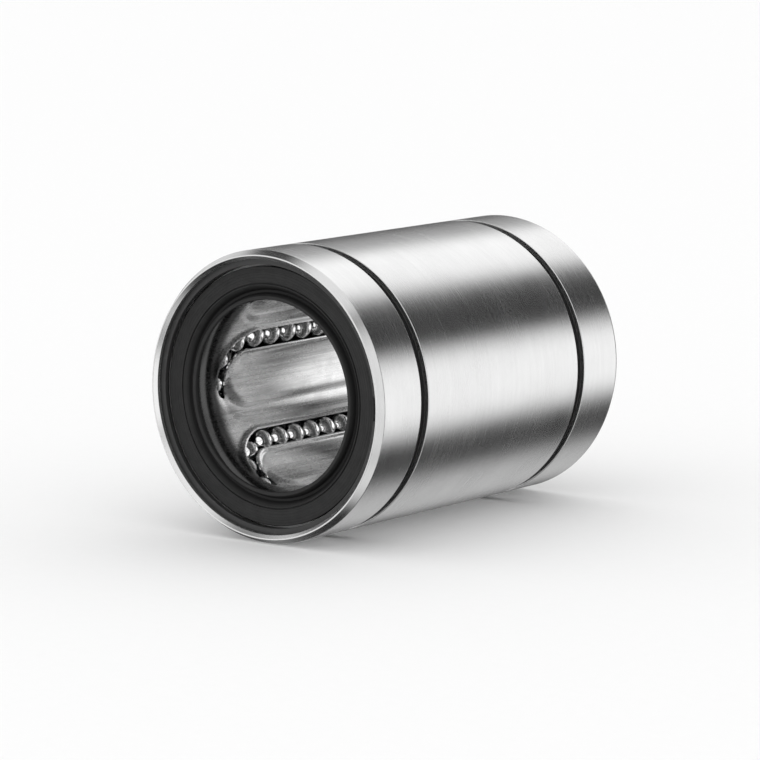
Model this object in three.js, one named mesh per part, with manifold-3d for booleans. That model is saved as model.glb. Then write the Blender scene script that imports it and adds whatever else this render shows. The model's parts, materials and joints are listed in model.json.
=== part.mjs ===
// Linear ball bushing for a 30 mm shaft: a ground sleeve, a pressed ball retainer with six
// recirculating ball circuits, and at each end an end ring, a lip seal and a snap ring.
//
// Units are millimetres. The bushing lies along Y with its centre at the origin and +Z up.
// "Depth" is the distance in from an end face, and "radius" the distance from the Y axis.

import * as THREE from "three";
import { mergeVertices } from "three/addons/utils/BufferGeometryUtils.js";
import Module from "manifold-3d";

// ---------- driving dimensions ----------

const shaft_radius = 15;
const sleeve_radius = 22.5;
const sleeve_length = 64;
const ball_radius = 3.969 / 2;

const circuit_count = 6;
const first_circuit_angle = 157.2;
const ball_pitch = 4.05;
const row_ball_count = 8;
const turn_ball_count = 5;
const return_row_radius = 18.7;
const turn_tilt = THREE.MathUtils.degToRad(12);
// How far the balls of each circuit stand along their track when the bushing is at rest.
const circuit_shifts = [-1.0, -1.6, 0.9, -0.3, 1.5, 0.3];

const raceway_radius = 19.05;
const counterbore_radius = 21.1;
const shoulder_depth = 6.3;
const ring_groove_depth = 11.15;
const ring_groove_width = 1.85;
const ring_groove_radius = 21.5;
const rim_corner_width = 0.7;
const rim_corner_depth = 1.2;
const rim_inner_chamfer = 0.25;
// Behind the raceways the sleeve is relieved, so that the balls can swing out round the turns.
const turn_relief_radius = 21.05;
const turn_relief_start = 1.0;
const turn_relief_end = 3.4;
const end_relief_radius = 20.4;
const end_relief_start = 6.6;

const retainer_inner_radius = 15.9;
const retainer_thickness = 1.0;
const retainer_flange_depth = 5.0;
const retainer_flange_radius = 18.8;
const retainer_flare_radius = 2.2;
const ball_channel_radius = 2.1;

const snap_ring_depth = 1.25;
const snap_ring_thickness = 0.9;
const snap_ring_inner_radius = 20.2;
const snap_ring_outer_radius = 21.5;
const snap_ring_half_gap = THREE.MathUtils.degToRad(5);
const snap_groove_radius = 21.65;
const snap_groove_clearance = 0.1;

const end_part_radius = 20.9;
const end_ring_depth = 3.9;
const end_ring_inner_radius = 17.3;
const end_ring_thickness = 0.8;
const seal_case_depth = 2.45;
const seal_case_thickness = 0.55;
const seal_case_inner_radius = 17.6;
const seal_face_depth = 1.9;
const seal_face_edge = 0.15;
const seal_root_depth = 4.4;
const lip_radius = 14.7;
const lip_root_radius = 15.9;
const lip_groove_depth = 1.0;
const assembly_gap = 0.3;

const sleeve_segments = 40;
const ring_segments = 32;
const snap_ring_steps = 24;
const rim_corner_steps = 3;
const inner_flare_steps = 3;
const outer_flare_steps = 2;
const ball_sides = 6;
const neck_ratio = 0.3;
const channel_sides = 10;
const channel_steps = 8;
const channel_end_steps = 3;

// ---------- worked-out dimensions ----------

const half_length = sleeve_length / 2;
const load_row_radius = shaft_radius + ball_radius;
const turn_radius = (turn_ball_count * ball_pitch) / Math.PI;
const half_track = (row_ball_count * ball_pitch) / 2;
const circuit_step = (2 * Math.PI) / circuit_count;
const seal_case_back = end_ring_depth - assembly_gap;

// Angle about the shaft from the load row to the return row, whose chord is one turn's diameter.
const row_angle = Math.acos(
  (load_row_radius ** 2 + return_row_radius ** 2 - 4 * turn_radius ** 2) /
    (2 * load_row_radius * return_row_radius),
);
const load_row_place = new THREE.Vector3(load_row_radius, 0, 0);
const return_row_place = new THREE.Vector3(
  return_row_radius * Math.cos(row_angle),
  0,
  return_row_radius * Math.sin(row_angle),
);
const chord_angle = Math.atan2(
  return_row_place.z - load_row_place.z,
  return_row_place.x - load_row_place.x,
);

// ---------- materials ----------

function steel(color, roughness) {
  return new THREE.MeshStandardMaterial({ color, roughness, metalness: 1 });
}

const ground_steel = steel(0xb9bab8, 0.28);
const pressed_steel = steel(0xc4c3bf, 0.35);
const ball_steel = steel(0xd6d7d8, 0.08);
const ring_steel = steel(0x8f9090, 0.4);
const black_spring_steel = steel(0x1b1b1c, 0.45);
const seal_rubber = new THREE.MeshStandardMaterial({ color: 0x232324, roughness: 0.7, metalness: 0 });

// ---------- solid helpers ----------

const wasm = await Module();
wasm.setup();

function to_solid(geometry) {
  const bare = geometry.clone();
  bare.deleteAttribute("normal");
  bare.deleteAttribute("uv");
  const merged = mergeVertices(bare, 1e-5);
  const vertProperties = new Float32Array(merged.attributes.position.array);
  const triVerts = new Uint32Array(merged.index.array);
  return new wasm.Manifold(new wasm.Mesh({ numProp: 3, vertProperties, triVerts }));
}

function to_geometry(solid) {
  const mesh = solid.getMesh();
  const geometry = new THREE.BufferGeometry();
  geometry.setAttribute("position", new THREE.BufferAttribute(new Float32Array(mesh.vertProperties), 3));
  geometry.setIndex(new THREE.BufferAttribute(new Uint32Array(mesh.triVerts), 1));
  return geometry;
}

function cut(geometry, tools) {
  let solid = to_solid(geometry);
  for (const tool of tools) {
    solid = solid.subtract(to_solid(tool));
  }
  return to_geometry(solid);
}

// A ring turned about Y from a closed outline of [radius, y] points, its outer side running up.
function turned(outline, segments) {
  const points = outline.map(([radius, y]) => new THREE.Vector2(radius, y));
  points.push(points[0].clone());
  return new THREE.LatheGeometry(points, segments);
}

// Points of an elliptical arc in an outline, both ends included.
function arc_points(radius, y, radial_size, axial_size, from_degrees, to_degrees, steps) {
  const points = [];
  for (let step = 0; step <= steps; step += 1) {
    const angle = THREE.MathUtils.degToRad(from_degrees + ((to_degrees - from_degrees) * step) / steps);
    points.push([radius + radial_size * Math.cos(angle), y + axial_size * Math.sin(angle)]);
  }
  return points;
}

// The same outline points seen from the other end, in reverse order so that the ring still closes.
function mirrored(points) {
  return points.map(([radius, y]) => [radius, -y]).reverse();
}

function named_mesh(name, geometry, material) {
  const mesh = new THREE.Mesh(geometry, material);
  mesh.name = name;
  return mesh;
}

// ---------- ball circuits ----------

// Groups place things in a circuit: inside the chord group the load row stands at x = -turn_radius,
// the return row at x = +turn_radius, and +Z points towards the shaft.
function chord_group() {
  const group = new THREE.Group();
  group.position.addVectors(load_row_place, return_row_place).multiplyScalar(0.5);
  group.rotation.y = -chord_angle;
  return group;
}

// The half circle at one end of a circuit lies in a plane that leans away from the shaft.
function turn_group(end) {
  const group = new THREE.Group();
  group.position.y = end * half_track;
  group.rotation.x = -end * turn_tilt;
  group.rotation.z = end > 0 ? 0 : Math.PI;
  return group;
}

// A straight row of balls along Y from y = 0, each joined to the next by a thin neck.
function ball_string(count) {
  const neck_radius = neck_ratio * ball_radius;
  const shoulder = ball_radius * Math.SQRT1_2;
  const profile = [new THREE.Vector2(0, -ball_radius)];
  for (let index = 0; index < count; index += 1) {
    const y = index * ball_pitch;
    if (index > 0) {
      profile.push(new THREE.Vector2(neck_radius, y - ball_pitch / 2));
    }
    profile.push(new THREE.Vector2(shoulder, y - shoulder));
    profile.push(new THREE.Vector2(ball_radius, y));
    profile.push(new THREE.Vector2(shoulder, y + shoulder));
  }
  profile.push(new THREE.Vector2(0, (count - 1) * ball_pitch + ball_radius));
  return new THREE.LatheGeometry(profile, ball_sides);
}

// The same string wrapped round a turn: each ball keeps its shape and takes its own place on the arc.
function bent_string(shift) {
  const geometry = ball_string(turn_ball_count);
  const position = geometry.attributes.position;
  const half_neck_zone = 0.05;
  for (let index = 0; index < position.count; index += 1) {
    const along = position.getY(index) / ball_pitch;
    const nearest = Math.round(along);
    const offset = along - nearest;
    const on_neck = Math.abs(offset) > 0.5 - half_neck_zone;
    const station = on_neck ? nearest + 0.5 * Math.sign(offset) : nearest;
    const angle = ((station + 0.5) * ball_pitch + shift) / turn_radius;
    const ahead = (along - station) * ball_pitch;
    const reach = turn_radius + position.getX(index);
    const x = -reach * Math.cos(angle) + ahead * Math.sin(angle);
    const y = reach * Math.sin(angle) + ahead * Math.cos(angle);
    position.setXYZ(index, x, y, -position.getZ(index));
  }
  return geometry;
}

function ball_row(name, x, shift) {
  const row = named_mesh(name, ball_string(row_ball_count), ball_steel);
  row.position.set(x, -half_track + ball_pitch / 2 + shift, 0);
  return row;
}

function ball_turn(name, end, shift) {
  const turn = turn_group(end);
  turn.add(named_mesh(name, bent_string(shift), ball_steel));
  return turn;
}

function ball_circuit(index) {
  const label = `circuit_${index + 1}`;
  const shift = circuit_shifts[index];
  const track = chord_group();
  track.add(ball_row(`${label}_load_row`, -turn_radius, shift));
  track.add(ball_turn(`${label}_rear_turn`, 1, shift));
  track.add(ball_row(`${label}_return_row`, turn_radius, -shift));
  track.add(ball_turn(`${label}_front_turn`, -1, shift));
  return in_sector(index, track);
}

function in_sector(index, child) {
  const sector = new THREE.Group();
  sector.rotation.y = -(THREE.MathUtils.degToRad(first_circuit_angle) + index * circuit_step);
  sector.add(child);
  return sector;
}

// ---------- cutting tools that follow the circuits ----------

// A tool's geometry moved to where its groups put it.
function placed(geometry, ...groups) {
  let parent = new THREE.Group();
  const root = parent;
  for (const group of groups) {
    parent.add(group);
    parent = group;
  }
  const mesh = new THREE.Mesh(geometry);
  parent.add(mesh);
  root.updateMatrixWorld(true);
  return geometry.clone().applyMatrix4(mesh.matrixWorld);
}

// The corners of a channel's many-sided section stand outside the round channel it makes room for.
function corner_radius_of(radius) {
  return radius / Math.cos(Math.PI / channel_sides);
}

// A straight channel with round ends, its length measured between the centres of the ends.
function straight_channel(radius, length) {
  return new THREE.CapsuleGeometry(corner_radius_of(radius), length, channel_end_steps, channel_sides);
}

// A round channel along the half circle of a turn.
class TurnArc extends THREE.Curve {
  getPoint(t, target = new THREE.Vector3()) {
    const angle = Math.PI * t;
    return target.set(-turn_radius * Math.cos(angle), turn_radius * Math.sin(angle), 0);
  }
}

function turn_channel() {
  const section = new THREE.Shape();
  section.absarc(0, 0, corner_radius_of(ball_channel_radius), 0, 2 * Math.PI, false);
  return new THREE.ExtrudeGeometry(section, {
    extrudePath: new TurnArc(),
    steps: channel_steps,
    curveSegments: channel_sides,
    bevelEnabled: false,
  });
}

// The way that the balls of one circuit sweep through the retainer.
function track_tools(index) {
  const sector = () => in_sector(index, new THREE.Group());
  const tools = [];
  for (const x of [-turn_radius, turn_radius]) {
    const row = chord_group();
    const shifted = new THREE.Group();
    shifted.position.x = x;
    tools.push(placed(straight_channel(ball_channel_radius, 2 * half_track), sector(), row, shifted));
  }
  for (const end of [1, -1]) {
    tools.push(placed(turn_channel(), sector(), chord_group(), turn_group(end)));
  }
  return tools;
}

// The channel in the sleeve behind one return row, long enough to open into both turn reliefs.
function return_channel_tool(index) {
  const clearance = 0.1;
  const run_out = 1.3;
  const channel = new THREE.Group();
  channel.rotation.y = -row_angle;
  const shifted = new THREE.Group();
  shifted.position.x = return_row_radius;
  const geometry = straight_channel(ball_channel_radius + clearance, 2 * (half_track + run_out));
  return placed(geometry, in_sector(index, new THREE.Group()), channel, shifted);
}

// ---------- sleeve and retainer ----------

function sleeve_outline() {
  const face = -half_length;
  const groove_start = face + ring_groove_depth - ring_groove_width / 2;
  const groove_end = groove_start + ring_groove_width;
  const snap_start = face + snap_ring_depth - snap_groove_clearance;
  const snap_end = face + snap_ring_depth + snap_ring_thickness + snap_groove_clearance;
  const shoulder = face + shoulder_depth;
  const inner = [
    [raceway_radius, -half_track],
    [turn_relief_radius, -half_track - turn_relief_start],
    [turn_relief_radius, -half_track - turn_relief_end],
    [end_relief_radius, -half_track - end_relief_start],
    [end_relief_radius, shoulder],
    [counterbore_radius, shoulder],
    [counterbore_radius, snap_end],
    [snap_groove_radius, snap_end],
    [snap_groove_radius, snap_start],
    [counterbore_radius, snap_start],
    [counterbore_radius, face + rim_inner_chamfer],
    [counterbore_radius + rim_inner_chamfer, face],
  ];
  const corner_radius = sleeve_radius - rim_corner_width;
  const corner_y = face + rim_corner_depth;
  const outer = [
    ...arc_points(corner_radius, corner_y, rim_corner_width, rim_corner_depth, -90, 0, rim_corner_steps),
    [sleeve_radius, groove_start],
    [ring_groove_radius, groove_start],
    [ring_groove_radius, groove_end],
    [sleeve_radius, groove_end],
  ];
  const front = [...inner, ...outer];
  return [...front, ...mirrored(front)];
}

function outer_sleeve() {
  const tools = circuit_indices.map(return_channel_tool);
  const geometry = cut(turned(sleeve_outline(), sleeve_segments), tools);
  return named_mesh("outer_sleeve", geometry, ground_steel);
}

function retainer_outline() {
  const flange_y = -half_length + retainer_flange_depth;
  const flare_y = flange_y + retainer_flare_radius;
  const flare_centre = retainer_inner_radius + retainer_flare_radius;
  const outer_flare = retainer_flare_radius - retainer_thickness;
  const inner_flare = retainer_flare_radius;
  const inner = [
    ...arc_points(flare_centre, flare_y, inner_flare, inner_flare, 180, 270, inner_flare_steps),
    [retainer_flange_radius, flange_y],
  ];
  const outer = [
    [retainer_flange_radius, flange_y + retainer_thickness],
    ...arc_points(flare_centre, flare_y, outer_flare, outer_flare, 270, 180, outer_flare_steps),
  ];
  const front = [...inner, ...outer];
  return [...front, ...mirrored(front)];
}

function ball_retainer() {
  const tools = circuit_indices.flatMap(track_tools);
  const geometry = cut(turned(retainer_outline(), ring_segments), tools);
  return named_mesh("ball_retainer", geometry, pressed_steel);
}

// ---------- end parts, each modelled at the front end ----------

// An L-shaped ring that seats on the sleeve's shoulder and holds the retainer's flange.
function end_ring(name) {
  const front = -half_length + end_ring_depth;
  const web_back = front + end_ring_thickness;
  const leg_back = -half_length + shoulder_depth - assembly_gap;
  const leg_radius = retainer_flange_radius + assembly_gap;
  const outline = [
    [end_part_radius, front],
    [end_part_radius, leg_back],
    [leg_radius, leg_back],
    [leg_radius, web_back],
    [end_ring_inner_radius, web_back],
    [end_ring_inner_radius, front],
  ];
  return named_mesh(name, turned(outline, ring_segments), ring_steel);
}

// The pressed steel cup that stiffens the seal.
function seal_case(name) {
  const front = -half_length + seal_case_depth;
  const back = -half_length + seal_case_back;
  const web_front = back - seal_case_thickness;
  const leg_radius = end_part_radius - seal_case_thickness;
  const outline = [
    [end_part_radius, front],
    [end_part_radius, back],
    [seal_case_inner_radius, back],
    [seal_case_inner_radius, web_front],
    [leg_radius, web_front],
    [leg_radius, front],
  ];
  return named_mesh(name, turned(outline, ring_segments), ring_steel);
}

// The rubber face of the seal, with a sloping inner edge, a groove and the wiping lip, whose tip
// stands forward beside the groove.
function seal_lip(name) {
  const face = -half_length + seal_face_depth;
  const back = -half_length + seal_case_back - seal_case_thickness - assembly_gap;
  const outer_radius = snap_ring_inner_radius - assembly_gap;
  const root_radius = seal_case_inner_radius - assembly_gap;
  const root_back = -half_length + seal_root_depth;
  const outline = [
    [outer_radius - seal_face_edge, face],
    [outer_radius, face + seal_face_edge],
    [outer_radius, back],
    [root_radius, back],
    [root_radius, root_back],
    [lip_root_radius, root_back],
    [lip_root_radius, face + 1.9],
    [lip_radius, face + 0.5],
    [lip_radius + 0.1, face + 0.15],
    [lip_radius + 0.6, face + 0.1],
    [lip_radius + 1.1, face + lip_groove_depth],
    [lip_radius + 1.5, face + lip_groove_depth],
    [lip_radius + 2.3, face],
  ];
  return named_mesh(name, turned(outline, ring_segments), seal_rubber);
}

// A split spring ring that snaps into the groove near the end face.
function snap_ring(name) {
  const outline = new THREE.Shape();
  const last_angle = 2 * Math.PI - snap_ring_half_gap;
  outline.absarc(0, 0, snap_ring_outer_radius, snap_ring_half_gap, last_angle, false);
  outline.absarc(0, 0, snap_ring_inner_radius, last_angle, snap_ring_half_gap, true);
  const geometry = new THREE.ExtrudeGeometry(outline, {
    depth: snap_ring_thickness,
    curveSegments: snap_ring_steps,
    bevelEnabled: false,
  });
  geometry.rotateX(Math.PI / 2);
  geometry.translate(0, -half_length + snap_ring_depth + snap_ring_thickness, 0);
  return named_mesh(name, geometry, black_spring_steel);
}

// The end parts stand at the front end, and turned half round about Z they stand at the rear.
function end_parts(label, turn) {
  const group = new THREE.Group();
  group.rotation.z = turn;
  group.add(end_ring(`${label}_end_ring`));
  group.add(seal_case(`${label}_seal_case`));
  group.add(seal_lip(`${label}_seal_lip`));
  group.add(snap_ring(`${label}_snap_ring`));
  return group;
}

// ---------- assembly ----------

const circuit_indices = circuit_shifts.map((shift, index) => index);
const bushing = new THREE.Group();
bushing.add(outer_sleeve());
bushing.add(ball_retainer());
bushing.add(end_parts("front", 0));
bushing.add(end_parts("rear", Math.PI));
for (const index of circuit_indices) {
  bushing.add(ball_circuit(index));
}

export default bushing;
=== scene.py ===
"""Looks of the linear ball bushing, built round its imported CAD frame.

Lengths are in millimetres until a mesh is made, and angles about the shaft run from +X towards +Z.
"Depth" is the distance in from an end face, as in the CAD source.
"""

import json
import math

import bmesh
import bpy
import numpy as np
from mathutils import Matrix, Vector


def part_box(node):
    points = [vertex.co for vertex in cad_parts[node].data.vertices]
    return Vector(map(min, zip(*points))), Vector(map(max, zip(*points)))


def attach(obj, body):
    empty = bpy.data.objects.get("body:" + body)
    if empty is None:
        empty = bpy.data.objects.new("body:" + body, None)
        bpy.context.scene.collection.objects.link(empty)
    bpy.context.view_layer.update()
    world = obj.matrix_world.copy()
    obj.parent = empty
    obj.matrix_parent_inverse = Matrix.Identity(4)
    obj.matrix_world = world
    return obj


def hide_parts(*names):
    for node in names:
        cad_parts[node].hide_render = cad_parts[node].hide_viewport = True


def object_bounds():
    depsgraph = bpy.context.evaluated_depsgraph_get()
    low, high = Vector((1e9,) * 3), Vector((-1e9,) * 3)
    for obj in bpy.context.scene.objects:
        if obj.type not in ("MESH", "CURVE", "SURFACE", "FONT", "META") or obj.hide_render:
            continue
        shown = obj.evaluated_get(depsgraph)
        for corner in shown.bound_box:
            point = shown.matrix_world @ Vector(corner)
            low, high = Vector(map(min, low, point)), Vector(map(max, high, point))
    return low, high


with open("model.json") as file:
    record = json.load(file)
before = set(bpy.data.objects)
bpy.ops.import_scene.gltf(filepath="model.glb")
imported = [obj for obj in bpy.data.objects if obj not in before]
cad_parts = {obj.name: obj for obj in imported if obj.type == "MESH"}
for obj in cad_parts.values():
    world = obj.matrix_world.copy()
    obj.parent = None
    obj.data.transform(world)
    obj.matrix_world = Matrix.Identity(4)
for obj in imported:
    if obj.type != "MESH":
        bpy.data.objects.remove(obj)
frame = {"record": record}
cad_low, cad_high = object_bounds()

MM = 0.001

# ---------- sizes, from the frame and the CAD source ----------

sleeve_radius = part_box("outer_sleeve")[1].x / MM
half_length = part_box("outer_sleeve")[1].y / MM
shaft_radius = 15.0
ball_radius = 3.969 / 2

circuit_count = 6
first_circuit_angle = math.radians(157.2)
circuit_step = 2 * math.pi / circuit_count
ball_pitch = 4.05
row_ball_count = 8
turn_ball_count = 5
return_row_radius = 18.7
turn_tilt = math.radians(12)
circuit_shifts = (-1.0, -1.6, 0.9, -0.3, 1.5, 0.3)

raceway_radius = 19.05
counterbore_radius = 21.1
shoulder_depth = 6.3
ring_groove_depth = 11.15
ring_groove_width = 1.85
ring_groove_radius = 21.5
rim_corner_width = 0.7
rim_corner_depth = 1.2
rim_inner_chamfer = 0.5
turn_relief_radius = 21.05
turn_relief_start = 1.0
turn_relief_end = 3.4
end_relief_radius = 20.4
end_relief_start = 6.6

retainer_inner_radius = 15.9
retainer_thickness = 1.0
retainer_flange_depth = 5.0
retainer_flange_radius = 18.8
retainer_flare_radius = 2.2
ball_channel_radius = 2.1
slot_edge_blend = 0.22

snap_ring_depth = 1.25
snap_ring_thickness = 0.9
snap_ring_inner_radius = 20.2
snap_ring_outer_radius = 21.5
snap_ring_half_gap = math.radians(5)
snap_groove_radius = 21.65
snap_groove_clearance = 0.1

end_part_radius = 20.9
end_ring_depth = 3.9
end_ring_inner_radius = 17.3
end_ring_thickness = 0.8
seal_case_thickness = 0.55
seal_case_depth = 2.45
seal_case_inner_radius = 17.6
seal_face_depth = 1.9
seal_root_depth = 4.4
lip_radius = 14.7
lip_root_radius = 15.9
lip_groove_depth = 1.0
assembly_gap = 0.3

# ---------- worked-out sizes ----------

load_row_radius = shaft_radius + ball_radius
turn_radius = turn_ball_count * ball_pitch / math.pi
half_track = row_ball_count * ball_pitch / 2
row_angle = math.acos(
    (load_row_radius**2 + return_row_radius**2 - 4 * turn_radius**2)
    / (2 * load_row_radius * return_row_radius)
)
seal_case_back = end_ring_depth - assembly_gap

# The chord frame of a circuit whose load row stands at angle 0: its middle, the direction from
# the load row to the return row, and the direction towards the shaft, each as (x, z).
load_place = np.array([load_row_radius, 0.0])
return_place = return_row_radius * np.array([math.cos(row_angle), math.sin(row_angle)])
chord_middle = (load_place + return_place) / 2
chord_across = (return_place - load_place) / np.linalg.norm(return_place - load_place)
chord_inward = np.array([-chord_across[1], chord_across[0]])

# ---------- meshes ----------


def mesh_of(name, points, faces, sharp_degrees=35):
    """A smooth mesh from points in millimetres and rows of corner numbers, all rows one length."""
    faces = np.asarray(faces, np.int32)
    sides = faces.shape[1]
    mesh = bpy.data.meshes.new(name)
    mesh.vertices.add(len(points))
    mesh.vertices.foreach_set("co", (np.asarray(points) * MM).astype(np.float32).ravel())
    mesh.loops.add(faces.size)
    mesh.loops.foreach_set("vertex_index", faces.ravel())
    mesh.polygons.add(len(faces))
    mesh.polygons.foreach_set("loop_start", np.arange(0, faces.size, sides, dtype=np.int32))
    mesh.update(calc_edges=True)
    mesh.validate()
    mesh.shade_smooth()
    mesh.set_sharp_from_angle(angle=math.radians(sharp_degrees))
    return mesh


def rounded(corners):
    """A closed outline of (radius, y) points from corners (radius, y, rounding).
    Next to each rounding stands one more point, which keeps the shading of the flats flat."""
    steps = 4
    longest_support = 0.1
    outline = []
    for index, (radius, y, rounding) in enumerate(corners):
        here = Vector((radius, y))
        before = Vector(corners[index - 1][:2]) - here
        after = Vector(corners[(index + 1) % len(corners)][:2]) - here
        half_angle = before.angle(after) / 2
        cut = rounding / math.tan(half_angle)
        support = cut + longest_support * min(before.length, after.length, 1.0)
        before.normalize()
        after.normalize()
        centre = here + (before + after).normalized() * rounding / math.sin(half_angle)
        start = here + before * cut - centre
        sweep = start.angle_signed(here + after * cut - centre, 0.0) if rounding else 0.0
        outline.append(here + before * support)
        for step in range(steps + 1 if rounding else 1):
            turn = Matrix.Rotation(-sweep * step / steps, 2)
            outline.append(centre + turn @ start if rounding else here)
        outline.append(here + after * support)
    return np.array([tuple(point) for point in outline])


def turned(name, outline, steps, reach=None, gap=0.0):
    """A ring turned about Y from a closed outline of (radius, y) points. reach, if given, changes
    the radii where the ring isn't round, and gap is half the angle left open about +X."""
    radius, y = outline[:, 0], outline[:, 1]
    if np.sum(radius * np.roll(y, -1) - np.roll(radius, -1) * y) > 0:
        radius, y = radius[::-1], y[::-1]
    columns = steps + 1 if gap else steps
    angle = gap + (2 * math.pi - 2 * gap) * np.arange(columns) / steps
    radius, y, angle = np.broadcast_arrays(radius[None, :], y[None, :], angle[:, None])
    if reach:
        radius = reach(radius, y, angle)
    points = np.stack([radius * np.cos(angle), y, radius * np.sin(angle)], -1).reshape(-1, 3)
    rows = outline.shape[0]
    number = np.arange(columns * rows).reshape(columns, rows)
    here = number[:-1] if gap else number
    there = number[1:] if gap else np.roll(number, -1, 0)
    quads = np.stack([here, np.roll(here, -1, 1), np.roll(there, -1, 1), there], -1)
    mesh = mesh_of(name, points, quads.reshape(-1, 4))
    if gap:
        close_ends(mesh)
    return mesh


def close_ends(mesh):
    """Caps the two open ends of a ring with a gap."""
    work = bmesh.new()
    work.from_mesh(mesh)
    edges = [edge for edge in work.edges if edge.is_boundary]
    bmesh.ops.holes_fill(work, edges=edges, sides=0)
    work.to_mesh(mesh)
    work.free()


def at_rear(outline):
    """The same outline at the rear end."""
    return outline * np.array([1, -1])


# ---------- ball track ----------


def in_circuit(index, points):
    """Points (across, y, inward) of the chord frame, put in place for one circuit."""
    angle = first_circuit_angle + index * circuit_step
    across, y, inward = np.moveaxis(np.asarray(points, float), -1, 0)
    x = chord_middle[0] + across * chord_across[0] + inward * chord_inward[0]
    z = chord_middle[1] + across * chord_across[1] + inward * chord_inward[1]
    turned_x = x * math.cos(angle) - z * math.sin(angle)
    turned_z = x * math.sin(angle) + z * math.cos(angle)
    return np.stack([turned_x, y, turned_z], -1)


def row_place(side, along):
    """A place on a straight row, side -1 for the load row and 1 for the return row."""
    return (side * turn_radius, -side * (along - half_track), 0.0)


def turn_place(end, along):
    """A place on a turn, end 1 at the rear and -1 at the front."""
    angle = along / turn_radius
    out = turn_radius * math.sin(angle)
    across = -end * turn_radius * math.cos(angle)
    return (across, end * (half_track + out * math.cos(turn_tilt)), -out * math.sin(turn_tilt))


def ball_places(index, part):
    """Where the balls of one train stand at rest."""
    place, side, count = {
        "load_row": (row_place, -1, row_ball_count),
        "rear_turn": (turn_place, 1, turn_ball_count),
        "return_row": (row_place, 1, row_ball_count),
        "front_turn": (turn_place, -1, turn_ball_count),
    }[part]
    shift = circuit_shifts[index]
    stations = [(number + 0.5) * ball_pitch + shift for number in range(count)]
    return in_circuit(index, [place(side, along) for along in stations])


def ball_train(name, places):
    """Loose polished balls, one at each place."""
    work = bmesh.new()
    for place in places:
        stand = Matrix.Translation(Vector(place) * MM)
        bmesh.ops.create_icosphere(work, subdivisions=4, radius=ball_radius * MM, matrix=stand)
    mesh = bpy.data.meshes.new(name)
    work.to_mesh(mesh)
    work.free()
    mesh.shade_smooth()
    return mesh


# ---------- sleeve ----------


def sleeve_outline():
    """The ground sleeve's section, with broken edges at the rims, grooves and shoulders."""
    groove_start = ring_groove_depth - ring_groove_width / 2
    groove_end = ring_groove_depth + ring_groove_width / 2
    snap_start = snap_ring_depth - snap_groove_clearance
    snap_end = snap_ring_depth + snap_ring_thickness + snap_groove_clearance
    straight_end = half_length - half_track
    inner = [
        (raceway_radius, straight_end, 0.3),
        (turn_relief_radius, straight_end - turn_relief_start, 0.4),
        (turn_relief_radius, straight_end - turn_relief_end, 0.4),
        (end_relief_radius, straight_end - end_relief_start, 0.4),
        (end_relief_radius, shoulder_depth, 0.15),
        (counterbore_radius, shoulder_depth, 0.1),
        (counterbore_radius, snap_end, 0.06),
        (snap_groove_radius, snap_end, 0.06),
        (snap_groove_radius, snap_start, 0.06),
        (counterbore_radius, snap_start, 0.06),
        (counterbore_radius, rim_inner_chamfer, 0.08),
        (counterbore_radius + rim_inner_chamfer, 0, 0.08),
    ]
    outer = [
        (sleeve_radius - rim_corner_width, 0, 0.1),
        (sleeve_radius, rim_corner_depth, 0.3),
        (sleeve_radius, groove_start, 0.12),
        (ring_groove_radius, groove_start, 0.1),
        (ring_groove_radius, groove_end, 0.1),
        (sleeve_radius, groove_end, 0.12),
    ]
    front = [(radius, depth - half_length, rounding) for radius, depth, rounding in inner + outer]
    rear = [(radius, -y, rounding) for radius, y, rounding in reversed(front)]
    return rounded(front + rear)


def return_channels(radius, y, angle):
    """The sleeve's bore deepened to the round channels behind the return rows."""
    channel = ball_channel_radius + 0.1
    from_channel = angle - first_circuit_angle - row_angle
    from_channel = (from_channel + circuit_step / 2) % circuit_step - circuit_step / 2
    across = return_row_radius * np.sin(from_channel)
    depth = np.sqrt(np.clip(channel**2 - across**2, 0, None))
    wall = np.where(abs(across) < channel, return_row_radius * np.cos(from_channel) + depth, 0)
    in_bore = (radius < turn_relief_radius + 0.01) & (abs(y) < half_track + turn_relief_start)
    return np.where(in_bore, np.maximum(radius, wall), radius)


# ---------- retainer ----------


def smooth_step(low, high, value):
    """0 below low, 1 above high and a smooth rise between them."""
    share = np.clip((value - low) / (high - low), 0, 1)
    return share * share * (3 - 2 * share)


def smooth_max(a, b, blend):
    """The larger of two distances, rounded over where they differ by less than blend."""
    share = np.clip(blend - abs(a - b), 0, None) / blend
    return np.maximum(a, b) + share * share * blend / 4


def channel_distance(angle, y, radius):
    """Distance to the wall of the balls' way, negative inside it. The angle is counted from the
    load row, and y from the bushing's middle."""
    x = radius * np.cos(angle) - chord_middle[0]
    z = radius * np.sin(angle) - chord_middle[1]
    across = x * chord_across[0] + z * chord_across[1]
    inward = x * chord_inward[0] + z * chord_inward[1]
    past = abs(y) - half_track
    beyond = np.clip(past, 0, None)
    rows = np.sqrt((abs(across) - turn_radius) ** 2 + inward**2 + beyond**2)
    out = past * math.cos(turn_tilt) - inward * math.sin(turn_tilt)
    above = past * math.sin(turn_tilt) + inward * math.cos(turn_tilt)
    turn = np.hypot(np.hypot(across, out) - turn_radius, above)
    return np.minimum(rows, np.where(out > 0, turn, rows)) - ball_channel_radius


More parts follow.
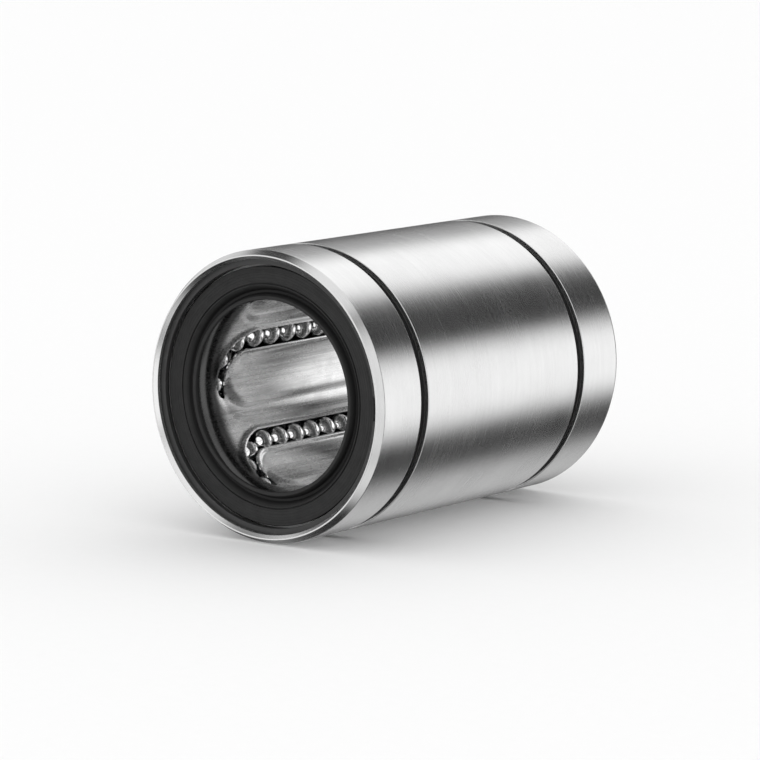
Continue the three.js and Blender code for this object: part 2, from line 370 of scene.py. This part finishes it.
def press_offset(angle, y):
    """How far the press has pushed the sheet outwards: a shallow trough along the covered part of
    the balls' way, and lips rolled inwards along the open slot."""
    trough_depth, trough_half_width = 0.45, 2.4
    lip_height, lip_width = 0.45, 0.38
    middle = retainer_inner_radius + retainer_thickness / 2
    across = middle * (angle - row_angle / 2)
    past = np.clip(abs(y) - half_track, 0, None)
    off_track = abs(np.hypot(across, past) - middle * row_angle / 2)
    round_turn = np.arctan2(past, -across)
    covered = smooth_step(math.radians(55), math.radians(120), round_turn)
    trough = covered * trough_depth * (1 - smooth_step(0.1, 1.0, off_track / trough_half_width))
    from_slot = channel_distance(angle, y, retainer_inner_radius)
    lip = (1 - covered) * lip_height * np.exp(-(((from_slot - 0.1) / lip_width) ** 2))
    return trough - lip


def sheet_distance(y, radius):
    """Distance to the retainer's sheet before its slots are cut: a tube flared out to a flange."""
    half_sheet = retainer_thickness / 2
    middle = retainer_inner_radius + half_sheet
    flare = retainer_flare_radius - half_sheet
    flare_y = half_length - retainer_flange_depth - retainer_flare_radius
    past = abs(y) - flare_y
    out = radius - middle - flare
    tube = abs(radius - middle)
    arc = abs(np.hypot(out, past) - flare)
    flange_end = retainer_flange_radius - half_sheet - middle - flare
    flange = np.hypot(past - flare, np.clip(out - flange_end, 0, None))
    line = np.where(past < 0, tube, np.where(out < 0, arc, flange))
    return line - half_sheet


def retainer_field(angle, y, radius):
    """Distance to the retainer's surface, negative inside the steel."""
    local = angle - first_circuit_angle - row_angle / 2 + circuit_step / 2
    local = local % circuit_step + row_angle / 2 - circuit_step / 2
    sheet = sheet_distance(y, radius - press_offset(local, y))
    return smooth_max(sheet, -channel_distance(local, y, radius), slot_edge_blend)


def surface_net(field, angle_count, y_values, radius_values):
    """A quad mesh of field = 0 on a grid of angle, y and radius, one point per crossed cell."""
    step = 2 * math.pi / angle_count
    angles = step * np.arange(angle_count + 1)
    axes = [angles, y_values, radius_values]
    values = field(*np.meshgrid(*axes, indexing="ij"))
    cells = [len(axis) - 1 for axis in axes]
    total, count = np.zeros((*cells, 3)), np.zeros(cells)
    crossings = []
    for axis in range(3):
        low = np.take(values, np.arange(cells[axis]), axis)
        high = np.take(values, np.arange(1, cells[axis] + 1), axis)
        crossed = (low < 0) != (high < 0)
        share = np.where(crossed, low / np.where(crossed, low - high, 1), 0)
        grids = list(axes)
        grids[axis] = axes[axis][:-1]
        place = np.stack(np.meshgrid(*grids, indexing="ij"), -1)
        shape = [1, 1, 1]
        shape[axis] = cells[axis]
        place[..., axis] += share * np.diff(axes[axis]).reshape(shape)
        crossings.append((crossed, low < 0))
        others = [other for other in range(3) if other != axis]
        for first in (0, 1):
            for second in (0, 1):
                pick = [slice(None)] * 3
                pick[others[0]] = slice(first, first + cells[others[0]])
                pick[others[1]] = slice(second, second + cells[others[1]])
                total += np.where(crossed[tuple(pick)][..., None], place[tuple(pick)], 0)
                count += crossed[tuple(pick)]
    used = count > 0
    number = np.cumsum(used).reshape(cells) - 1
    return total[used] / count[used][:, None], net_faces(number, crossings, cells)


def net_faces(number, crossings, cells):
    """The quads of a surface net: one round each crossed grid line, facing out of the solid."""
    quads = []
    for axis, (crossed, low_inside) in enumerate(crossings):
        first, second = [other for other in range(3) if other != axis]
        ring = []
        for shift_first, shift_second in ((1, 1), (0, 1), (0, 0), (1, 0)):
            ring.append(np.roll(number, (shift_first, shift_second), (first, second)))
        keep = [slice(1, cells[other]) if other else slice(0, cells[0]) for other in range(3)]
        keep[axis] = slice(0, cells[axis])
        keep = tuple(keep)
        mask, inside = crossed[keep], low_inside[keep]
        corners = np.stack([corner[keep][mask] for corner in ring], -1)
        flip = inside[mask] == (axis == 1)
        corners[flip] = corners[flip][:, ::-1]
        quads.append(corners)
    return np.concatenate(quads)


def settled(field, places):
    """Grid places moved onto the surface itself, along the field's slope."""
    angle, y, radius = places.T
    rounds = 3
    small = 0.01
    longest_step = 0.1
    for _ in range(rounds):
        value = field(angle, y, radius)
        slope_a = (field(angle + small / radius, y, radius) - value) / small
        slope_y = (field(angle, y + small, radius) - value) / small
        slope_r = (field(angle, y, radius + small) - value) / small
        size = np.clip(slope_a**2 + slope_y**2 + slope_r**2, 0.2, None)
        step = np.clip(-value / size, -longest_step, longest_step)
        angle = angle + step * slope_a / radius
        y = y + step * slope_y
        radius = radius + step * slope_r
    return angle, y, radius


def retainer_mesh(name):
    """The pressed retainer, with fine rows at the turns and long ones between them."""
    end_rows, middle_rows, radius_rows, columns_per_circuit = 40, 19, 22, 60
    margin, lip_room = 0.3, 0.6
    straight = half_track - 1.5
    ends = np.linspace(straight, half_length - retainer_flange_depth + margin, end_rows)
    middle = np.linspace(-straight, straight, middle_rows)
    y_values = np.concatenate([-ends[::-1], middle[1:-1], ends])
    inside = retainer_inner_radius - lip_room
    radius_values = np.linspace(inside, retainer_flange_radius + margin, radius_rows)
    columns = columns_per_circuit * circuit_count
    places, quads = surface_net(retainer_field, columns, y_values, radius_values)
    angle, y, radius = settled(retainer_field, places)
    points = np.stack([radius * np.cos(angle), y, radius * np.sin(angle)], -1)
    return mesh_of(name, points, quads, 50)


# ---------- end parts, at the front end ----------


def at_front(corners):
    """An outline at the front end from corners (radius, depth, rounding)."""
    return rounded([(radius, depth - half_length, rounding) for radius, depth, rounding in corners])


def end_ring_outline():
    """The cup that holds the retainer's flange against the sleeve's shoulder."""
    web_back = end_ring_depth + end_ring_thickness
    leg_back = shoulder_depth - assembly_gap
    leg_radius = retainer_flange_radius + assembly_gap
    return at_front(
        [
            (end_part_radius, end_ring_depth, 0.1),
            (end_part_radius, leg_back, 0.1),
            (leg_radius, leg_back, 0.1),
            (leg_radius, web_back, 0.2),
            (end_ring_inner_radius, web_back, 0.15),
            (end_ring_inner_radius, end_ring_depth, 0.15),
        ]
    )


def seal_case_outline():
    """The pressed steel cup that stiffens the seal's rubber."""
    web_front = seal_case_back - seal_case_thickness
    leg_radius = end_part_radius - seal_case_thickness
    return at_front(
        [
            (end_part_radius, seal_case_depth, 0.1),
            (end_part_radius, seal_case_back, 0.3),
            (seal_case_inner_radius, seal_case_back, 0.15),
            (seal_case_inner_radius, web_front, 0.15),
            (leg_radius, web_front, 0.1),
            (leg_radius, seal_case_depth, 0.1),
        ]
    )


def face_rings(inner_radius, outer_radius, count):
    """Shallow moulding rings across the flat face of the seal, from the inside out."""
    ring_width, ring_depth = 0.14, 0.03
    rings = []
    for number in range(count):
        radius = inner_radius + (outer_radius - inner_radius) * (number + 0.5) / count
        rings.append((radius - ring_width / 2, seal_face_depth, 0.02))
        rings.append((radius, seal_face_depth + ring_depth, 0.02))
        rings.append((radius + ring_width / 2, seal_face_depth, 0.02))
    return rings


def seal_lip_outline():
    """The seal's rubber: its back against the case, the lip round the shaft, the groove round
    the lip, a fine cut in the face and the rings across it."""
    back = seal_case_back - seal_case_thickness - assembly_gap
    outer_radius = snap_ring_inner_radius - assembly_gap
    root_radius = seal_case_inner_radius - assembly_gap
    face_inner = lip_radius + 2.3
    return at_front(
        [
            (outer_radius, seal_face_depth, 0.12),
            (outer_radius, back, 0.1),
            (root_radius, back, 0.1),
            (root_radius, seal_root_depth, 0.2),
            (lip_root_radius, seal_root_depth, 0.2),
            (lip_root_radius, seal_face_depth + 1.9, 0.2),
            (lip_radius, seal_face_depth + 0.5, 0.06),
            (lip_radius + 0.1, seal_face_depth + 0.15, 0.1),
            (lip_radius + 0.6, seal_face_depth + 0.1, 0.12),
            (lip_radius + 1.1, seal_face_depth + lip_groove_depth, 0.1),
            (lip_radius + 1.5, seal_face_depth + lip_groove_depth, 0.1),
            (face_inner, seal_face_depth, 0.08),
            (face_inner + 0.12, seal_face_depth, 0.03),
            (face_inner + 0.18, seal_face_depth + 0.25, 0.03),
            (face_inner + 0.32, seal_face_depth + 0.25, 0.03),
            (face_inner + 0.38, seal_face_depth, 0.03),
            *face_rings(face_inner + 0.5, outer_radius - 0.2, 5),
        ]
    )


def snap_ring_outline():
    """The square section of the ring in the sleeve's mouth."""
    back = snap_ring_depth + snap_ring_thickness
    return at_front(
        [
            (snap_ring_outer_radius, snap_ring_depth, 0.1),
            (snap_ring_outer_radius, back, 0.1),
            (snap_ring_inner_radius, back, 0.1),
            (snap_ring_inner_radius, snap_ring_depth, 0.1),
        ]
    )


# ---------- shader helpers ----------


def add_node(tree, kind, inputs, **settings):
    """A shader node with its settings, and each input set to a value or linked from a socket."""
    node = tree.nodes.new("ShaderNode" + kind)
    for name, value in settings.items():
        setattr(node, name, value)
    for key, value in inputs.items():
        if isinstance(value, bpy.types.NodeSocket):
            tree.links.new(value, node.inputs[key])
        else:
            node.inputs[key].default_value = value
    return node


def calculate(tree, operation, *values):
    """The result of one Math node."""
    node = add_node(tree, "Math", dict(enumerate(values)), operation=operation)
    return node.outputs[0]


def remap(tree, value, from_low, from_high, to_low, to_high, kind="LINEAR"):
    """One stretch of values laid on another, and held at its ends."""
    inputs = {"Value": value, "From Min": from_low, "From Max": from_high}
    inputs.update({"To Min": to_low, "To Max": to_high})
    return add_node(tree, "MapRange", inputs, interpolation_type=kind).outputs["Result"]


def mix_colors(tree, share, first, second):
    """A colour between two others, by the Mix node's colour sockets: 6 and 7 in, 2 out."""
    inputs = {"Factor": share, 6: first, 7: second}
    return add_node(tree, "Mix", inputs, data_type="RGBA").outputs[2]


def grey(value):
    return (value, value, value, 1.0)


def row_axes(tree):
    """x, y and z in the row frame, in millimetres."""
    place = add_node(tree, "TexCoord", {}).outputs["Object"]
    scaled = add_node(tree, "VectorMath", {0: place, 3: 1 / MM}, operation="SCALE").outputs[0]
    split = add_node(tree, "SeparateXYZ", {0: scaled})
    return split.outputs


def noise(tree, vector, scale, detail, roughness, **more):
    """Soft noise round 0.5, in four dimensions if W is given."""
    inputs = {"Vector": vector, "Scale": scale, "Detail": detail, "Roughness": roughness, **more}
    dimensions = "4D" if "W" in more else "3D"
    return add_node(tree, "TexNoise", inputs, noise_dimensions=dimensions).outputs["Fac"]


def lathe_lines(tree, axes, line_width, line_length):
    """Fine lines round the shaft on any turned surface, each line_width mm wide."""
    x, y, z = axes
    radius = calculate(tree, "SQRT", calculate(tree, "ADD", square(tree, x), square(tree, z)))
    across = calculate(tree, "MULTIPLY", radius, 1 / line_width)
    along_shaft = calculate(tree, "MULTIPLY", y, 1 / line_width)
    around_x = calculate(tree, "MULTIPLY", x, 1 / line_length)
    around_z = calculate(tree, "MULTIPLY", z, 1 / line_length)
    vector = add_node(tree, "CombineXYZ", {0: across, 1: along_shaft, 2: around_x}).outputs[0]
    return noise(tree, vector, 1.0, 3.0, 0.6, W=around_z), radius


def square(tree, value):
    return calculate(tree, "MULTIPLY", value, value)


def streaks(tree, axes, width, length):
    """Soft streaks along the shaft."""
    x, y, z = axes
    across_x = calculate(tree, "MULTIPLY", x, 1 / width)
    along = calculate(tree, "MULTIPLY", y, 1 / length)
    across_z = calculate(tree, "MULTIPLY", z, 1 / width)
    vector = add_node(tree, "CombineXYZ", {0: across_x, 1: along, 2: across_z}).outputs[0]
    return noise(tree, vector, 1.0, 4.0, 0.6)


def mottling(tree, axes, size):
    """Cloudy spots about size mm across."""
    x, y, z = axes
    vector = add_node(tree, "CombineXYZ", {0: x, 1: y, 2: z}).outputs[0]
    return noise(tree, vector, 1 / size, 5.0, 0.6)


def bump(tree, height, depth, normal=None):
    """A bump depth millimetres high, on top of another bump's normal if one is given."""
    inputs = {"Height": height, "Distance": depth * MM}
    if normal:
        inputs["Normal"] = normal
    return add_node(tree, "Bump", inputs).outputs["Normal"]


def new_material(name):
    material = bpy.data.materials.new(name)
    material.use_nodes = True
    material.node_tree.nodes.clear()
    return material, material.node_tree


def finish_material(tree, inputs):
    shader = add_node(tree, "BsdfPrincipled", inputs)
    add_node(tree, "OutputMaterial", {"Surface": shader.outputs[0]})


# ---------- materials ----------


def ground_steel():
    """Cylindrically ground steel: fine lines round the shaft, soft stains, and ring grooves
    darkened by painted shade with some oil.
    """
    material, tree = new_material("ground_steel")
    axes = row_axes(tree)
    fine, radius = lathe_lines(tree, axes, 0.12, 9.0)
    broad, _ = lathe_lines(tree, axes, 0.7, 25.0)
    stains = mottling(tree, axes, 9.0)
    lines = calculate(tree, "ADD", fine, broad)
    shade = remap(tree, lines, 0.6, 1.4, 0.0, 1.0)
    color = mix_colors(tree, shade, grey(0.64), grey(0.70))
    color = mix_colors(tree, remap(tree, stains, 0.35, 0.7, 0.0, 0.2), color, grey(0.56))
    groove = groove_oil_and_shade(tree, axes, radius)
    # Painted shade, with some oil: the floors of the ring grooves turn near black.
    color = mix_colors(tree, groove, color, grey(0.035))
    roughness = remap(tree, calculate(tree, "ADD", fine, stains), 0.6, 1.4, 0.20, 0.30)
    roughness = calculate(tree, "ADD", roughness, calculate(tree, "MULTIPLY", groove, 0.3))
    tangent = add_node(tree, "Tangent", {}, direction_type="RADIAL", axis="Y").outputs[0]
    finish_material(
        tree,
        {
            "Base Color": color,
            "Metallic": 1.0,
            "Roughness": roughness,
            "Anisotropic": 0.5,
            "Anisotropic Rotation": 0.25,
            "Tangent": tangent,
            "Normal": bump(tree, lines, 0.0007),
        },
    )
    return material


def groove_oil_and_shade(tree, axes, radius):
    """1 on the floor of a ring groove, fading out at the top of its flanks: where painted shade,
    with some oil, darkens the groove.
    """
    inside = remap(tree, radius, ring_groove_radius - 0.2, ring_groove_radius - 0.1, 0.0, 1.0)
    below_top = remap(tree, radius, ring_groove_radius + 0.12, ring_groove_radius + 0.4, 1.0, 0.0)
    from_middle = calculate(tree, "ABSOLUTE", axes[1])
    not_end = calculate(tree, "LESS_THAN", from_middle, half_length - shoulder_depth)
    return calculate(tree, "MULTIPLY", calculate(tree, "MULTIPLY", inside, below_top), not_end)


def pressed_steel():
    """Deep-drawn sheet steel, tumbled: soft streaks along the shaft and small rub marks."""
    material, tree = new_material("pressed_steel")
    axes = row_axes(tree)
    long_streaks = streaks(tree, axes, 0.55, 14.0)
    clouds = mottling(tree, axes, 3.0)
    grain = mottling(tree, axes, 0.35)
    streak_share = remap(tree, long_streaks, 0.35, 0.65, 0.0, 1.0)
    color = mix_colors(tree, streak_share, grey(0.60), grey(0.86))
    color = mix_colors(tree, remap(tree, clouds, 0.45, 0.75, 0.0, 0.35), color, grey(0.50))
    color = mix_colors(tree, flare_share(tree, axes), color, grey(0.07))
    roughness = remap(tree, calculate(tree, "ADD", long_streaks, clouds), 0.6, 1.4, 0.20, 0.33)
    texture = bump(tree, long_streaks, 0.010)
    finish_material(
        tree,
        {
            "Base Color": color,
            "Metallic": 1.0,
            "Roughness": roughness,
            "Normal": bump(tree, grain, 0.0015, texture),
        },
    )
    return material


def flare_share(tree, axes):
    """1 on the flared ends, which are coloured darker, and 0 on the tube."""
    from_end = calculate(tree, "SUBTRACT", half_length, calculate(tree, "ABSOLUTE", axes[1]))
    flare_depth = retainer_flange_depth + retainer_flare_radius
    return remap(tree, from_end, flare_depth + 0.8, flare_depth + 3.2, 1.0, 0.0, "SMOOTHSTEP")


def ball_steel():
    """Polished bearing balls with the thinnest film of grease."""
    material, tree = new_material("ball_steel")
    axes = row_axes(tree)
    film = mottling(tree, axes, 1.1)
    color = mix_colors(tree, remap(tree, film, 0.4, 0.7, 0.0, 1.0), grey(0.92), grey(0.80))
    finish_material(
        tree,
        {
            "Base Color": color,
            "Metallic": 1.0,
            "Roughness": remap(tree, film, 0.35, 0.7, 0.08, 0.20),
        },
    )
    return material


def ring_steel():
    """Plain pressed steel rings, dull with fine turning lines."""
    material, tree = new_material("ring_steel")
    axes = row_axes(tree)
    lines, _ = lathe_lines(tree, axes, 0.2, 6.0)
    clouds = mottling(tree, axes, 2.0)
    color = mix_colors(tree, remap(tree, clouds, 0.35, 0.7, 0.0, 1.0), grey(0.40), grey(0.26))
    finish_material(
        tree,
        {
            "Base Color": color,
            "Metallic": 1.0,
            "Roughness": remap(tree, lines, 0.35, 0.7, 0.34, 0.5),
            "Normal": bump(tree, lines, 0.006),
        },
    )
    return material


def black_spring_steel():
    """Blackened spring steel with a little bare metal rubbed through."""
    material, tree = new_material("black_spring_steel")
    axes = row_axes(tree)
    lines, _ = lathe_lines(tree, axes, 0.25, 4.0)
    clouds = mottling(tree, axes, 0.8)
    color = mix_colors(tree, remap(tree, clouds, 0.6, 0.8, 0.0, 1.0), grey(0.030), grey(0.07))
    finish_material(
        tree,
        {
            "Base Color": color,
            "Metallic": 0.2,
            "Roughness": remap(tree, lines, 0.35, 0.7, 0.36, 0.55),
            "Normal": bump(tree, lines, 0.01),
        },
    )
    return material


def seal_rubber():
    """Moulded rubber, matt charcoal with fine rings and a few pale specks, and painted shade: near
    black deeper than the face, round the lip.
    """
    material, tree = new_material("seal_rubber")
    axes = row_axes(tree)
    lines, _ = lathe_lines(tree, axes, 0.16, 12.0)
    clouds = mottling(tree, axes, 1.6)
    specks = mottling(tree, axes, 0.16)
    color = mix_colors(tree, remap(tree, clouds, 0.35, 0.7, 0.0, 1.0), grey(0.014), grey(0.020))
    color = mix_colors(tree, remap(tree, specks, 0.68, 0.75, 0.0, 0.5), color, grey(0.07))
    # Painted shade: the rubber deeper than the face, in the lip's recess, turns near black.
    from_end = calculate(tree, "SUBTRACT", half_length, calculate(tree, "ABSOLUTE", axes[1]))
    lip_recess_shade = remap(tree, from_end, seal_face_depth + 0.25, seal_face_depth + 0.7, 0.0, 1.0)
    color = mix_colors(tree, lip_recess_shade, color, grey(0.003))
    texture = bump(tree, lines, 0.012)
    finish_material(
        tree,
        {
            "Base Color": color,
            "Roughness": remap(tree, lines, 0.35, 0.7, 0.52, 0.72),
            "Specular IOR Level": 0.3,
            "Normal": bump(tree, specks, 0.006, texture),
        },
    )
    return material


def floor_paper():
    """Plain white paper with a faint tooth."""
    material, tree = new_material("floor_paper")
    axes = row_axes(tree)
    tooth = mottling(tree, axes, 2.0)
    color = mix_colors(tree, tooth, grey(0.84), grey(0.86))
    finish_material(tree, {"Base Color": color, "Roughness": 0.9, "Specular IOR Level": 0.1})
    return material


# ---------- pieces ----------

body_of = {
    node: body
    for body, nodes in frame["record"]["behaviour"]["bodies"].items()
    for node in nodes
}
slot_of = {part["node"]: part["material_slot"] for part in frame["record"]["subparts"]}
material_of = {
    "ground_steel": ground_steel(),
    "pressed_steel": pressed_steel(),
    "ball_steel": ball_steel(),
    "ring_steel": ring_steel(),
    "black_spring_steel": black_spring_steel(),
    "seal_rubber": seal_rubber(),
}


def stand_for(node, mesh):
    """Shows the mesh in place of a CAD node, on the node's body and in its material."""
    piece = bpy.data.objects.new(node + "_detailed", mesh)
    bpy.context.scene.collection.objects.link(piece)
    mesh.materials.append(material_of[slot_of[node]])
    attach(piece, body_of[node])
    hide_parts(node)


def build_housing():
    """The sleeve, the retainer, and the same four end parts at both ends."""
    sleeve_steps, ring_steps = 384, 240
    sleeve = turned("outer_sleeve", sleeve_outline(), sleeve_steps, return_channels)
    stand_for("outer_sleeve", sleeve)
    stand_for("ball_retainer", retainer_mesh("ball_retainer"))
    outlines = {
        "end_ring": end_ring_outline(),
        "seal_case": seal_case_outline(),
        "seal_lip": seal_lip_outline(),
        "snap_ring": snap_ring_outline(),
    }
    for part, outline in outlines.items():
        gap = snap_ring_half_gap if part == "snap_ring" else 0.0
        for end, placed in (("front", outline), ("rear", at_rear(outline))):
            node = f"{end}_{part}"
            stand_for(node, turned(node, placed, ring_steps, gap=gap))


def build_balls():
    """Four trains of balls in each circuit, each riding on its own body."""
    for index in range(circuit_count):
        for part in ("load_row", "rear_turn", "return_row", "front_turn"):
            node = f"circuit_{index + 1}_{part}"
            stand_for(node, ball_train(node, ball_places(index, part)))


# ---------- studio ----------

camera_azimuth = math.radians(37.106)
camera_elevation = math.radians(8.487)
camera_lens = 184.45
# From the middle of the front rim, to the right, up and back, in sleeve radii.
camera_offset = (0.7814, 0.1188, 26.236)
front_rim_depth = 0.5

# What matt surfaces and the camera see of the world.
white_light = 1.17
# Long lights parallel to the shaft: the angle of the middle about the shaft, how far from it the
# light is full, how far from it the light is gone, all in degrees, and the strength.
light_bands = (
    (-7, 14, 43, 1.3),
    (103, 10, 34, 1.3),
    (138, 8, 32, 0.35),
    (-107, 4, 38, 0.6),
)
between_bands = 0.05
# Round lights: the direction, then the same three numbers.
light_boxes = (
    ((0.3, -0.7, 0.65), 15, 40, 1.2),
    ((0.2, -0.15, 1.0), 12, 32, 1.1),
    ((0.55, -0.2, -0.8), 10, 30, 1.1),
    ((-0.6, -0.79, -0.15), 12, 34, 1.2),
    ((0.1, 0.35, 0.93), 14, 32, 1.2),
    ((-0.85, 0.4, 0.3), 12, 28, 0.9),
)

bore_panel_radius = 19.0
bore_panel_distance = 4.0
floor_radius = 12000.0


def build_camera():
    """The camera stands to the right of the front end, a little above the shaft."""
    sin_a, cos_a = math.sin(camera_azimuth), math.cos(camera_azimuth)
    sin_e, cos_e = math.sin(camera_elevation), math.cos(camera_elevation)
    right = Vector((cos_a, sin_a, 0))
    up = Vector((-sin_e * sin_a, sin_e * cos_a, cos_e))
    back = Vector((sin_a * cos_e, -cos_a * cos_e, sin_e))
    front_rim = Vector((0, front_rim_depth - half_length, 0))
    offset = camera_offset[0] * right + camera_offset[1] * up + camera_offset[2] * back
    data = bpy.data.cameras.new("camera")
    data.lens = camera_lens
    data.clip_start = 0.02
    data.clip_end = 50
    camera = bpy.data.objects.new("camera", data)
    camera.matrix_world = Matrix((right, up, back)).transposed().to_4x4()
    camera.location = (front_rim + sleeve_radius * offset) * MM
    bpy.context.scene.collection.objects.link(camera)
    bpy.context.scene.camera = camera


def disc(name, radius, segments, material):
    """A flat round sheet facing up, its radius in millimetres."""
    work = bmesh.new()
    bmesh.ops.create_circle(work, cap_ends=True, segments=segments, radius=radius * MM)
    mesh = bpy.data.meshes.new(name)
    work.to_mesh(mesh)
    work.free()
    mesh.materials.append(material)
    sheet = bpy.data.objects.new(name, mesh)
    bpy.context.scene.collection.objects.link(sheet)
    return sheet


def build_floor():
    """A wide round sheet of paper, which the polished steel doesn't mirror."""
    floor = disc("floor", floor_radius, 96, floor_paper())
    floor.location.z = cad_low.z
    floor.visible_glossy = False


def build_bore_panel():
    """A round lit panel behind the rear opening, brightest along its middle. It only shows as
    reflections, in the bore and on the rear end."""
    material, tree = new_material("bore_panel")
    from_middle = calculate(tree, "ABSOLUTE", row_axes(tree)[1])
    radiance = remap(tree, from_middle, 3.0, 13.0, 1.45, 0.3, "SMOOTHSTEP")
    shader = add_node(tree, "Emission", {"Strength": radiance})
    add_node(tree, "OutputMaterial", {"Surface": shader.outputs[0]})
    panel = disc("bore_panel", bore_panel_radius, 64, material)
    panel.location.y = (half_length + bore_panel_distance) * MM
    panel.rotation_euler.x = math.pi / 2
    panel.visible_camera = False
    panel.visible_diffuse = False
    panel.visible_shadow = False


def soft_spot(tree, direction, towards, inner_degrees, outer_degrees, strength):
    """A light round one direction, full out to inner_degrees from it and gone at outer_degrees."""
    facing = add_node(tree, "VectorMath", {0: direction, 1: towards}, operation="DOT_PRODUCT")
    gone = math.cos(math.radians(outer_degrees))
    full = math.cos(math.radians(inner_degrees))
    return remap(tree, facing.outputs["Value"], gone, full, 0.0, strength, "SMOOTHSTEP")


def steel_light(tree, direction):
    """What polished steel sees: long bands towards both ends, level light to the sides and in
    front, and the round lights, all fading into each other."""
    _, behind, height = add_node(tree, "SeparateXYZ", {0: direction}).outputs
    flat = add_node(tree, "VectorMath", {0: direction, 1: (1, 0, 1)}, operation="MULTIPLY")
    about = add_node(tree, "VectorMath", {0: flat.outputs[0]}, operation="NORMALIZE").outputs[0]
    light = between_bands
    for middle, inner, outer, strength in light_bands:
        towards = (math.cos(math.radians(middle)), 0, math.sin(math.radians(middle)))
        band = soft_spot(tree, about, towards, inner, outer, strength)
        light = calculate(tree, "ADD", light, band)
    slope = calculate(tree, "ABSOLUTE", behind)
    ends_share = remap(tree, slope, 0.3, 0.6, 0.0, 1.0, "SMOOTHSTEP")
    light = calculate(tree, "MULTIPLY", light, ends_share)
    steepness = calculate(tree, "ABSOLUTE", height)
    level = remap(tree, steepness, 0.95, 0.5, 0.0, 1.2, "SMOOTHSTEP")
    fade_in = remap(tree, behind, 0.15, -0.1, 0.0, 1.0, "SMOOTHSTEP")
    fade_out = remap(tree, behind, -0.6, -0.35, 0.0, 1.0, "SMOOTHSTEP")
    side_share = calculate(tree, "MULTIPLY", fade_in, fade_out)
    light = calculate(tree, "ADD", light, calculate(tree, "MULTIPLY", side_share, level))
    for towards, inner, outer, strength in light_boxes:
        unit = tuple(Vector(towards).normalized())
        box = soft_spot(tree, direction, unit, inner, outer, strength)
        light = calculate(tree, "MAXIMUM", light, box)
    return light


def build_world():
    """Even white light on everything matt, and soft studio lights for the steel to mirror."""
    world = bpy.data.worlds.new("studio")
    bpy.context.scene.world = world
    world.use_nodes = True
    world.cycles.sampling_method = "NONE"
    tree = world.node_tree
    tree.nodes.clear()
    direction = add_node(tree, "TexCoord", {}).outputs["Generated"]
    inputs = {
        "Factor": add_node(tree, "LightPath", {}).outputs["Is Glossy Ray"],
        "A": white_light,
        "B": steel_light(tree, direction),
    }
    strength = add_node(tree, "Mix", inputs, data_type="FLOAT").outputs[0]
    background = add_node(tree, "Background", {"Color": grey(1.0), "Strength": strength})
    add_node(tree, "OutputWorld", {"Surface": background.outputs[0]})


bpy.context.scene.view_settings.view_transform = "Standard"
build_camera()
build_floor()
build_world()
build_bore_panel()
build_housing()
build_balls()
